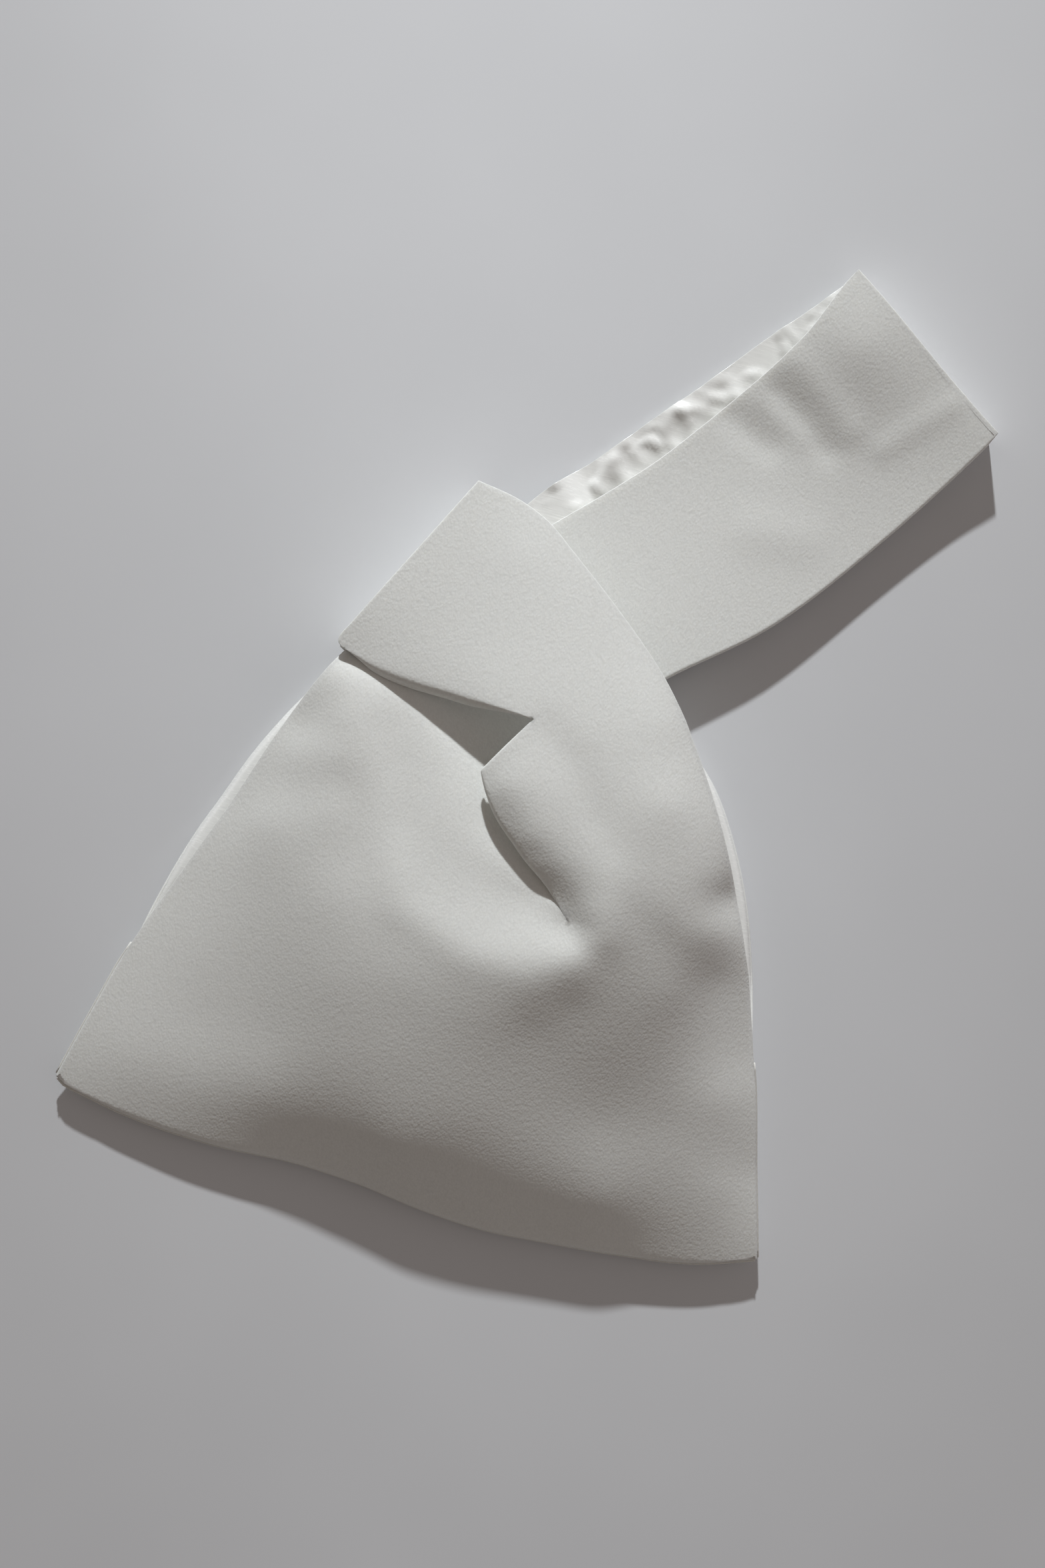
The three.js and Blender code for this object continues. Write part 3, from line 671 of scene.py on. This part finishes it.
def strap_cloth_grids():
    """Crepe of the strap with rounded long edges, which thin out at the end fold."""
    grid = edge_lines(crepe_strap())
    normal = grid_normals(grid)
    past_fold = np.abs(np.arange(len(grid)) - 0.5 * (len(grid) - 1)) - 0.5 * STRAP_FOLD_STEPS
    full = 0.1 + 0.9 * smooth(past_fold / 4.0)
    left = roll(grid[:, 0], grid[:, 1], normal[:, 0], 0.3 * full, 70.0, 4)
    right = roll(grid[:, -1], grid[:, -2], normal[:, -1], 1.1 * full, 110.0, 4)
    return [bordered(left, grid, right)]


def crumple(along, across):
    """Crumpled satin along the strap's open edge: short creases up and down at seeded places, which fade
    towards the middle."""
    chance = np.random.default_rng(CRUMPLE_SEED)
    height = np.zeros_like(along)
    for place in np.linspace(2.0, 140.0, CRUMPLE_FOLDS):
        start = np.array((place + chance.uniform(-3, 3), chance.uniform(-46, -34)))
        turn = chance.uniform(-1.2, 1.2)
        end = start + chance.uniform(5, 15) * np.array((math.sin(turn), math.cos(turn)))
        depth = chance.choice((-1, 1)) * chance.uniform(0.35, 0.85)
        height += crease(along, across, [start, end], chance.uniform(1.6, 3.6), depth)
    return height * (1 - smooth((across + 24) / 14))


def strap_lining_grids():
    """Satin of the strap, just inside the crepe, crumpled along its open edge."""
    u = evenly(LINING_COLUMNS + 1) ** 1.7
    grid = strap_grid(LINING_INSETS, LINING_SINK, LINING_ROWS, u)
    back = strap_layer(STRAP_BACK_LEFT, STRAP_BACK_RIGHT, LINING_ROWS, LINING_INSETS[1], u)[::-1]
    grid[-len(back):, :, 2] += np.maximum(crumple(back[..., 0], back[..., 1]), -0.2)
    return [grid]


# ---- Linings and seams

FRONT_LINING_DEPTH = 1.7
BACK_LINING_DEPTH = 1.6


def front_lining_grids(sizes):
    """Satin inside the front cloth, one cloth thickness in from each sheet."""
    pouch, left_arm, flap, loop = front_sheets(sizes)
    stacked = np.concatenate((pouch[:, :COLUMNS_LEFT + 1], left_arm[1:]))
    right = np.concatenate((pouch[:, COLUMNS_LEFT:], flap[1:]))
    return [inside(grid, FRONT_LINING_DEPTH) for grid in (stacked, right, loop)]


def back_lining_grids(sizes):
    """Satin inside the back cloth, one cloth thickness in. Beside the open mouth it swells up from its edge:
    by 2.5 mm times a rise over the first 6 mm and a smooth fall beyond 8 mm."""
    pouch, left_arm, loop = back_cloth_grids(sizes)
    stacked = np.concatenate((pouch[:, :COLUMNS_LEFT + 1], left_arm[1:]))
    right = np.concatenate((pouch[:, COLUMNS_LEFT:], loop[1:1 - FOLD_STEPS]))
    result = []
    for grid, side, second, seam_top, under in ((stacked, 0, 1, LEFT_SEAM_TOP, 150),
                                                (right, -1, -2, RIGHT_SEAM_TOP, 160)):
        inner = inside(grid, -BACK_LINING_DEPTH)
        inner[:, side] += 0.6 * unit(inner[:, second] - inner[:, side])
        distance = np.linalg.norm(inner[..., :2] - inner[:, side, None, :2], axis=-1)
        edge_y = inner[:, side, 1]
        open_share = smooth((edge_y - seam_top) / 30) * (1 - smooth((edge_y - under) / 25))
        swell = rise(distance, 6.0, 2.0) * (1 - smooth((distance - 8) / 14))
        inner[..., 2] += 2.5 * open_share[:, None] * swell
        result.append(inner)
    return result


def tube(path, radius, sides=8):
    """Thin round line along a path: a circle carried on its side and up directions, with closed ends."""
    step = unit(np.gradient(path, axis=0))
    side = unit(np.cross(step, np.tile((0.0, 0.0, 1.0), (len(path), 1))))
    up = np.cross(side, step)
    angle = np.linspace(0, 2 * math.pi, sides + 1)[None, :, None]
    rings = path[:, None] + radius * (side[:, None] * np.cos(angle) + up[:, None] * np.sin(angle))
    ends = np.broadcast_to(path[[0, -1], None], (2, sides + 1, 3))
    return np.concatenate((ends[:1], rings, ends[1:]))


def seam_paths(sizes):
    """The five seams, each as its name, the solid it stands for and its line."""
    front = front_cloth_grids(sizes)
    left = front["left_side"][:POUCH_ROWS + 1, 0]
    right = front["right_side"][:POUCH_ROWS + 1, -1]
    strap = crepe_strap()
    sunk = np.array((0.0, 0.0, SEAM_SINK))
    return [("bottom_seam_line", "bottom_seam", front["base"][0]),
            ("left_side_seam_line", "left_side_seam", left[left[:, 1] < LEFT_SEAM_TOP] - sunk),
            ("right_side_seam_line", "right_side_seam", right[right[:, 1] < RIGHT_SEAM_TOP] - sunk),
            ("loop_end_seam_line", "loop_end_seam", front["loop"][-1, 1:-1]),
            ("strap_end_seam_line", "handle_end_seam", strap[len(strap) // 2, 1:-1])]


# ---- Materials

def add_node(tree, kind, inputs, **settings):
    """Shader node with its settings and its inputs, each a value or a socket to link from."""
    node = tree.nodes.new("ShaderNode" + kind)
    for label, value in settings.items():
        setattr(node, label, value)
    for label, value in inputs.items():
        if isinstance(value, bpy.types.NodeSocket):
            tree.links.new(value, node.inputs[label])
        else:
            node.inputs[label].default_value = value
    return node


def math_node(tree, kind, a, b):
    """Math node with two inputs, each a socket or a number."""
    return add_node(tree, "Math", {0: a, 1: b}, operation=kind).outputs[0]


def turned_coords(tree, degrees, scale):
    """Object coordinates, turned about the upright axis and scaled."""
    coords = add_node(tree, "TexCoord", {}).outputs["Object"]
    turn = (0.0, 0.0, math.radians(degrees))
    return add_node(tree, "Mapping", {"Vector": coords, "Rotation": turn, "Scale": scale}).outputs["Vector"]


def crepe_grain_group():
    """Pebbled grain of twisted yarn: round cells mixed with coarser noise. Gives height and shade."""
    group = bpy.data.node_groups.new("crepe_grain", "ShaderNodeTree")
    for label, way in (("Scale", "INPUT"), ("Height", "OUTPUT"), ("Shade", "OUTPUT")):
        group.interface.new_socket(label, in_out=way, socket_type="NodeSocketFloat")
    source, sink = (group.nodes.new(kind) for kind in ("NodeGroupInput", "NodeGroupOutput"))
    place = turned_coords(group, 24, (1.0, 0.72, 1.0))
    fine, coarse = (math_node(group, "MULTIPLY", source.outputs["Scale"], factor) for factor in (1.0, 0.55))
    cells = add_node(group, "TexVoronoi", {"Vector": place, "Scale": fine, "Smoothness": 0.6},
                     feature="SMOOTH_F1")
    noise = add_node(group, "TexNoise", {"Vector": place, "Scale": coarse, "Detail": 3.0})
    pebble = math_node(group, "SUBTRACT", 1.0, cells.outputs["Distance"])
    height = math_node(group, "ADD", math_node(group, "MULTIPLY", pebble, 0.6),
                       math_node(group, "MULTIPLY", noise.outputs["Fac"], 0.6))
    group.links.new(height, sink.inputs["Height"])
    group.links.new(math_node(group, "MULTIPLY", height, 0.9), sink.inputs["Shade"])
    return group


def new_material(name, settings):
    """Material whose Principled shader has the settings. Gives the material, its tree and that shader."""
    material = bpy.data.materials.new(name)
    material.use_nodes = True
    shader = material.node_tree.nodes["Principled BSDF"]
    for label, value in settings.items():
        shader.inputs[label].default_value = value
    return material, material.node_tree, shader


def two_tones(tree, shader, value, colour, dark, low, high):
    """Base colour from two tones: the colour times dark where the value is low, the colour where high."""
    ramp = add_node(tree, "ValToRGB", {"Fac": value})
    for element, position, factor in zip(ramp.color_ramp.elements, (low, high), (dark, 1.0)):
        element.position = position
        element.color = [c * factor for c in colour] + [1.0]
    tree.links.new(ramp.outputs["Color"], shader.inputs["Base Color"])


def bumped(tree, shader, height, strength):
    """Bump of that strength from a height, up to a fifth of a millimetre."""
    bump = add_node(tree, "Bump", {"Height": height, "Strength": strength, "Distance": 0.0002})
    tree.links.new(bump.outputs["Normal"], shader.inputs["Normal"])


def cloth_material(name, colour, grain, scale, bump, roughness, shade):
    """Matt cloth: grain group to bump and a little shade, sheen on the shader's own socket."""
    _, tree, shader = new_material(name, {
        "Roughness": roughness, "Specular IOR Level": 0.25, "Sheen Weight": 0.1, "Sheen Roughness": 0.5,
        "Subsurface Weight": 0.35, "Subsurface Radius": (1.0, 0.96, 0.9), "Subsurface Scale": 0.002})
    node = add_node(tree, "Group", {"Scale": scale}, node_tree=grain)
    two_tones(tree, shader, node.outputs["Shade"], colour, 1 - shade, 0.25, 0.75)
    bumped(tree, shader, node.outputs["Height"], bump)


def satin_material(name, colour):
    """Satin: smooth, low roughness, with faint long streaks of its warp."""
    _, tree, shader = new_material(name, {"Specular IOR Level": 0.9, "Sheen Weight": 0.1})
    place = turned_coords(tree, -50, (0.08, 1.0, 1.0))
    streak = add_node(tree, "TexNoise", {"Vector": place, "Scale": 1400.0, "Detail": 2.0}).outputs["Fac"]
    two_tones(tree, shader, streak, colour, 0.93, 0.3, 0.7)
    gloss = math_node(tree, "ADD", math_node(tree, "MULTIPLY", streak, 0.12), 0.20)
    tree.links.new(gloss, shader.inputs["Roughness"])
    bumped(tree, shader, streak, 0.15)


def table_material(name, colour):
    """Table top: matt and very faintly clouded."""
    material, tree, shader = new_material(name, {"Roughness": 0.8, "Specular IOR Level": 0.2})
    coords = add_node(tree, "TexCoord", {}).outputs["Object"]
    clouds = add_node(tree, "TexNoise", {"Vector": coords, "Scale": 9.0}).outputs["Fac"]
    two_tones(tree, shader, clouds, colour, 0.97, 0.35, 0.65)
    return material


def finishes():
    """The bag's finishes, made once."""
    colours = bpy.context.scene.knot_bag_colours
    if "white_crepe" not in bpy.data.materials:
        grain = crepe_grain_group()
        cloth_material("white_crepe", colours.crepe[:], grain,
                       scale=1350.0, bump=0.6, roughness=0.85, shade=0.07)
        cloth_material("seam_thread", colours.seam[:], grain,
                       scale=1250.0, bump=0.5, roughness=0.8, shade=0.10)
        satin_material("white_satin", colours.satin[:])
    return bpy.data.materials


# ---- Settings

class KnotBagSizes(bpy.types.PropertyGroup):
    """Sizes that change the bag's look."""
    puff: FloatProperty(
        name="Puff", description="Fullness of the pouch and loop, as a share of how they lie",
        default=1.25, min=0.3, max=2.0, subtype="FACTOR")
    crepe_thickness: FloatProperty(
        name="Crepe thickness", description="Thickness of crepe and interlining",
        default=0.0014, min=0.0003, max=0.003, unit="LENGTH")
    lining_thickness: FloatProperty(
        name="Lining thickness", description="Thickness of the satin lining",
        default=0.0004, min=0.0002, max=0.002, unit="LENGTH")
    seam_radius: FloatProperty(
        name="Seam radius", description="Half the width of a stitched seam line",
        default=0.0006, min=0.0002, max=0.002, unit="LENGTH")


class KnotBagColours(bpy.types.PropertyGroup):
    """Colours of the bag and of what it lies on."""
    crepe: FloatVectorProperty(
        name="Crepe", description="Colour of the outer cloth", subtype="COLOR",
        default=(0.814, 0.816, 0.785), min=0.0, max=1.0)
    satin: FloatVectorProperty(
        name="Satin", description="Colour of the lining", subtype="COLOR",
        default=(0.92, 0.917, 0.89), min=0.0, max=1.0)
    seam: FloatVectorProperty(
        name="Seam", description="Colour of the seam lines", subtype="COLOR",
        default=(0.75, 0.74, 0.69), min=0.0, max=1.0)
    floor: FloatVectorProperty(
        name="Floor", description="Colour of the table", subtype="COLOR",
        default=(0.73, 0.736, 0.753), min=0.0, max=1.0)


# ---- Operators

# Stage, in metres: the table, the middle of the view on it, the view's upward direction, camera and lamp.
TABLE_CORNERS = [(-3, -3, 0), (3, -3, 0), (3, 3, 0), (-3, 3, 0)]
VIEW_MIDDLE = (0.0063, 0.0914, 0.0)
VIEW_UP = (-0.24717, 0.96897, 0.0)
CAMERA_HEIGHT = 0.600
FRAME_HEIGHT = 0.588
SENSOR_HEIGHT = 36.0
LAMP_AWAY = 1.927
LAMP_HEIGHT = 0.801
LAMP_SIZE = 0.08
LAMP_SPREAD = 46.8
LAMP_POWER = 2.88
LAMP_COLOUR = (0.96, 1.0, 1.025)
# Soft light of the room, as least and most strength and colour: warm from above, plain from the right.
ROOM_ABOVE = (0.07, 0.17, (1.14, 1.0, 0.90, 1.0))
ROOM_RIGHT = (0.0, 0.24, (1.05, 1.0, 1.05, 1.0))


class KNOTBAG_OT_stage(bpy.types.Operator):
    """Lays the pale table, hangs the lamp, sets the soft surrounding light and places the camera"""
    bl_idname = "knotbag.stage"
    bl_label = "Stage"

    def execute(self, context):
        scene = context.scene
        scene.view_settings.view_transform = "Standard"
        mesh = bpy.data.meshes.new("table")
        mesh.from_pydata(TABLE_CORNERS, [], [(0, 1, 2, 3)])
        mesh.materials.append(table_material("table_paper", scene.knot_bag_colours.floor[:]))
        table = new_object("table", mesh)

        # Camera straight above, turned so that the bag leans as it lies.
        centre = Vector(VIEW_MIDDLE)
        up = Vector(VIEW_UP)
        side = Vector((up.y, -up.x, 0.0))
        camera_data = bpy.data.cameras.new("camera")
        camera_data.sensor_fit = "VERTICAL"
        camera_data.sensor_height = SENSOR_HEIGHT
        camera_data.lens = SENSOR_HEIGHT * CAMERA_HEIGHT / FRAME_HEIGHT
        camera = new_object("camera", camera_data)
        turn = Matrix((side, up, (0, 0, 1))).transposed().to_4x4()
        camera.matrix_world = Matrix.Translation(centre + Vector((0, 0, CAMERA_HEIGHT))) @ turn
        scene.camera = camera

        # One lamp beyond the strap.
        lamp_data = bpy.data.lights.new("lamp", "AREA")
        lamp_data.shape = "DISK"
        lamp_data.size = LAMP_SIZE
        lamp_data.spread = math.radians(LAMP_SPREAD)
        lamp_data.energy = LAMP_POWER
        lamp_data.color = LAMP_COLOUR
        lamp = new_object("lamp", lamp_data)
        place = centre + up * LAMP_AWAY + Vector((0, 0, LAMP_HEIGHT))
        lamp.location = place
        lamp.rotation_euler = (centre - place).to_track_quat("-Z", "Y").to_euler()

        world = bpy.data.worlds.new("room")
        world.use_nodes = True
        scene.world = world
        tree = world.node_tree
        coords = add_node(tree, "TexCoord", {}).outputs["Generated"]
        total = add_node(tree, "AddShader", {})
        tree.links.new(total.outputs[0], tree.nodes["World Output"].inputs["Surface"])
        tree.nodes.remove(tree.nodes["Background"])
        lights = (((0.0, 0.0, 1.0), ROOM_ABOVE), (tuple(side), ROOM_RIGHT))
        for place, (axis, (least, most, colour)) in enumerate(lights):
            facing = add_node(tree, "VectorMath", {0: coords, 1: axis}, operation="DOT_PRODUCT")
            spread = add_node(tree, "MapRange", {"Value": facing.outputs["Value"],
                                                 "To Min": least, "To Max": most})
            light = add_node(tree, "Background", {"Color": colour, "Strength": spread.outputs["Result"]})
            tree.links.new(light.outputs[0], total.inputs[place])
        return {"FINISHED"}


class KNOTBAG_OT_front_cloth(bpy.types.Operator):
    """Makes the front crepe: puffed pouch, left arm, flap and loop in one cloth"""
    bl_idname = "knotbag.front_cloth"
    bl_label = "Front cloth"

    def execute(self, context):
        sizes = context.scene.knot_bag_sizes
        grids = list(front_cloth_grids(sizes).values())
        piece = cloth_object("front_cloth", grids, finishes()["white_crepe"], sizes.crepe_thickness)
        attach(piece, "bag")
        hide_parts("front_panel", "left_arm_front", "loop_front")
        return {"FINISHED"}


class KNOTBAG_OT_back_cloth(bpy.types.Operator):
    """Makes the back crepe, which lies on the table, with its two arms"""
    bl_idname = "knotbag.back_cloth"
    bl_label = "Back cloth"

    def execute(self, context):
        sizes = context.scene.knot_bag_sizes
        piece = cloth_object("back_cloth", back_cloth_grids(sizes), finishes()["white_crepe"],
                             sizes.crepe_thickness, turned=True)
        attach(piece, "bag")
        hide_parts("back_panel", "left_arm_back", "loop_back")
        return {"FINISHED"}


class KNOTBAG_OT_linings(bpy.types.Operator):
    """Makes the satin linings inside the front and back cloths"""
    bl_idname = "knotbag.linings"
    bl_label = "Linings"

    def execute(self, context):
        sizes = context.scene.knot_bag_sizes
        satin = finishes()["white_satin"]
        front = cloth_object("front_lining", front_lining_grids(sizes), satin, sizes.lining_thickness,
                             levels=0)
        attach(front, "bag")
        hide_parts("front_panel_lining", "left_arm_front_lining", "loop_front_lining")
        back = cloth_object("back_lining", back_lining_grids(sizes), satin, sizes.lining_thickness, levels=0,
                            turned=True)
        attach(back, "bag")
        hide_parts("back_panel_lining", "left_arm_back_lining", "loop_back_lining")
        return {"FINISHED"}


class KNOTBAG_OT_wrist_strap(bpy.types.Operator):
    """Makes the wrist strap: crepe outside and crumpled satin inside, folded at its far end"""
    bl_idname = "knotbag.wrist_strap"
    bl_label = "Wrist strap"

    def execute(self, context):
        sizes = context.scene.knot_bag_sizes
        cloth = cloth_object("strap_cloth", strap_cloth_grids(), finishes()["white_crepe"],
                             sizes.crepe_thickness)
        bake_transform(cloth)
        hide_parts("tail_front", "tail_back", "handle_front", "handle_back")
        lining = cloth_object("strap_lining", strap_lining_grids(), finishes()["white_satin"],
                              sizes.lining_thickness, levels=0)
        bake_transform(lining)
        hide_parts("tail_front_lining", "tail_back_lining",
                    "handle_front_lining", "handle_back_lining")
        return {"FINISHED"}


class KNOTBAG_OT_seams(bpy.types.Operator):
    """Makes the stitched lines of the base, the sides and the two end folds"""
    bl_idname = "knotbag.seams"
    bl_label = "Seams"

    def execute(self, context):
        sizes = context.scene.knot_bag_sizes
        for name, node, path in seam_paths(sizes):
            piece = joined_object(name, [tube(path, sizes.seam_radius * 1000)], finishes()["seam_thread"])
            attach(piece, "wrist_loop" if name.startswith("strap") else "bag")
            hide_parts(node)
        return {"FINISHED"}


class KNOTBAG_PT_sidebar(bpy.types.Panel):
    """Lists the bag's sizes, colours and making steps"""
    bl_idname = "KNOTBAG_PT_sidebar"
    bl_label = "Knot bag"
    bl_space_type = "VIEW_3D"
    bl_region_type = "UI"
    bl_category = "Knot bag"

    def draw(self, context):
        layout = self.layout
        for group in (context.scene.knot_bag_sizes, context.scene.knot_bag_colours):
            for name in group.__annotations__:
                layout.prop(group, name)
        for operator in OPERATORS:
            layout.operator(operator.bl_idname)


OPERATORS = (KNOTBAG_OT_stage, KNOTBAG_OT_front_cloth, KNOTBAG_OT_back_cloth, KNOTBAG_OT_linings,
             KNOTBAG_OT_wrist_strap, KNOTBAG_OT_seams)
CLASSES = (KnotBagSizes, KnotBagColours) + OPERATORS + (KNOTBAG_PT_sidebar,)


def register():
    """Registers the classes and hangs the settings on the scene."""
    for cls in CLASSES:
        bpy.utils.register_class(cls)
    bpy.types.Scene.knot_bag_sizes = PointerProperty(type=KnotBagSizes)
    bpy.types.Scene.knot_bag_colours = PointerProperty(type=KnotBagColours)


def unregister():
    """Removes the settings and the classes."""
    del bpy.types.Scene.knot_bag_sizes
    del bpy.types.Scene.knot_bag_colours
    for cls in reversed(CLASSES):
        bpy.utils.unregister_class(cls)


def main():
    """Builds the bag and its stage."""
    register()
    bpy.ops.knotbag.stage()
    bpy.ops.knotbag.front_cloth()
    bpy.ops.knotbag.back_cloth()
    bpy.ops.knotbag.linings()
    bpy.ops.knotbag.wrist_strap()
    bpy.ops.knotbag.seams()


if __name__ == "__main__":
    main()
